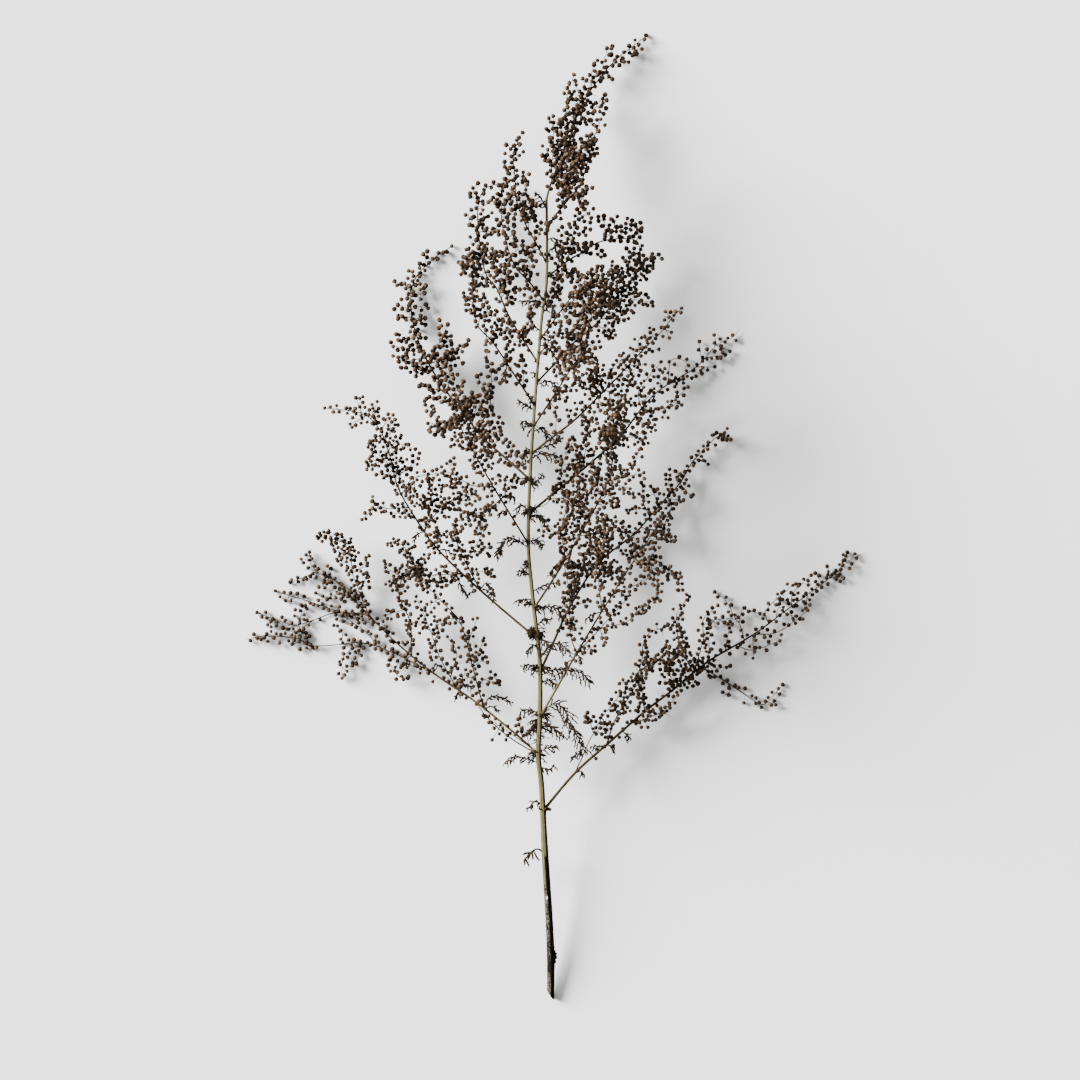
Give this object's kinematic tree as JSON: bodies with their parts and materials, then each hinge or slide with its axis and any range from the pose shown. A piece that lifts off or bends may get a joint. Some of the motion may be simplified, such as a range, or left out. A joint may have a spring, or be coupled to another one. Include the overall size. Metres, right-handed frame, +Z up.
{
  "type": "dried sweet wormwood branch",
  "caption": "A cut, dried flowering branch of sweet wormwood lying down: a ribbed stem with side sprays of small round flower heads and curled, cut leaves.",
  "frame": {"origin": "middle of the underside of the whole branch, on the surface it lies on", "axes": "+Y from the cut end to the top of the stem, +X to the right as the picture shows it, +Z up off the surface, towards the viewer of the picture"},
  "size_m": [0.3742, 0.5816, 0.1062],
  "materials": {
    "stem_bark": "dry ribbed khaki bark, matte",
    "flower_spray": "dry brown flower heads and twigs, matte",
    "dried_leaf": "dry dark leaf, matte"
  },
  "bodies": {
    "root": {"main_stem": "stem_bark", "leader_spray": "flower_spray", "right_spray_1": "flower_spray", "right_spray_2": "flower_spray", "right_spray_3": "flower_spray", "right_spray_4": "flower_spray", "right_spray_5": "flower_spray", "right_spray_6": "flower_spray", "right_spray_7": "flower_spray", "right_spray_8": "flower_spray", "right_spray_9_low": "flower_spray", "right_spray_9": "flower_spray", "right_spray_10": "flower_spray", "right_spray_11": "flower_spray", "left_spray_1": "flower_spray", "left_spray_2": "flower_spray", "left_spray_3": "flower_spray", "left_spray_4": "flower_spray", "left_spray_5": "flower_spray", "left_spray_6": "flower_spray", "left_spray_7": "flower_spray", "left_spray_8": "flower_spray", "leaf_01_left": "dried_leaf", "leaf_02_left": "dried_leaf", "leaf_03_left": "dried_leaf", "leaf_04_right": "dried_leaf", "leaf_05_right": "dried_leaf", "leaf_06_left": "dried_leaf", "leaf_07_left": "dried_leaf", "leaf_08_right": "dried_leaf", "leaf_09_right": "dried_leaf", "leaf_10_left": "dried_leaf", "leaf_11_right": "dried_leaf", "leaf_12_right": "dried_leaf", "leaf_13_right": "dried_leaf", "leaf_14_right": "dried_leaf", "leaf_15_right": "dried_leaf", "leaf_16_left": "dried_leaf", "leaf_17_left": "dried_leaf", "leaf_18_right": "dried_leaf", "leaf_19_right": "dried_leaf", "leaf_20_left": "dried_leaf", "leaf_21_left": "dried_leaf", "leaf_22_right": "dried_leaf", "leaf_23_right": "dried_leaf", "leaf_24_left": "dried_leaf", "leaf_25_right": "dried_leaf", "leaf_26_left": "dried_leaf", "leaf_27_right": "dried_leaf", "leaf_28_left": "dried_leaf", "leaf_29_right": "dried_leaf", "leaf_30_left": "dried_leaf", "leaf_31_right": "dried_leaf", "leaf_32_right": "dried_leaf", "leaf_33_left": "dried_leaf", "leaf_34_left": "dried_leaf", "leaf_35_right": "dried_leaf", "leaf_36_right": "dried_leaf", "leaf_37_left": "dried_leaf"}
  },
  "joints": []
}
